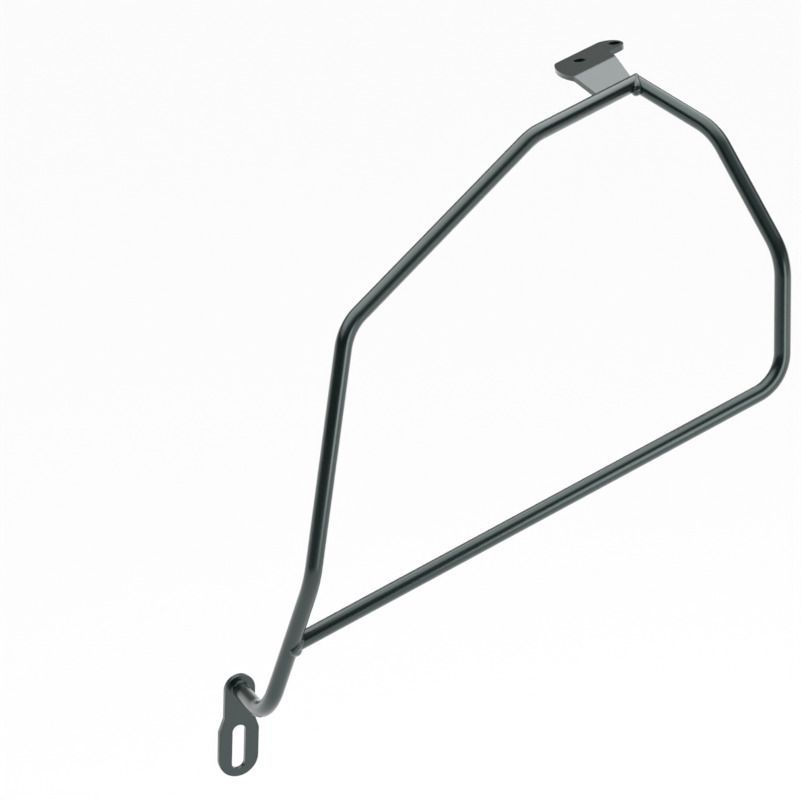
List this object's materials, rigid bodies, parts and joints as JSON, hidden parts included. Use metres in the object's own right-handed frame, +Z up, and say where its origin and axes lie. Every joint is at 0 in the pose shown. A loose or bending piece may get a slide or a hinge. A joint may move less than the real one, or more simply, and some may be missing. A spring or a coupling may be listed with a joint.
{
  "type": "motorcycle pannier frame",
  "caption": "Bent and welded round-tube side frame that holds a saddlebag off a motorcycle's rear wheel, with a slotted foot tab and a folded top bracket for bolts.",
  "frame": {"origin": "the middle of the foot slot, on the tab face that bolts to the motorcycle", "axes": "+X points to the rear of the motorcycle, +Y inboard along the foot bolt and +Z up"},
  "size_m": [0.4072, 0.23, 0.4839],
  "materials": {
    "powder_coat": "satin dark grey powder coat over steel, with a faint green cast",
    "coated_weld": "weld beads under the same satin powder coat"
  },
  "bodies": {
    "root": {"front_tube": "powder_coat", "rear_tube": "powder_coat", "foot_tab": "powder_coat", "top_bracket": "powder_coat", "weld_beads": "coated_weld"}
  },
  "joints": []
}
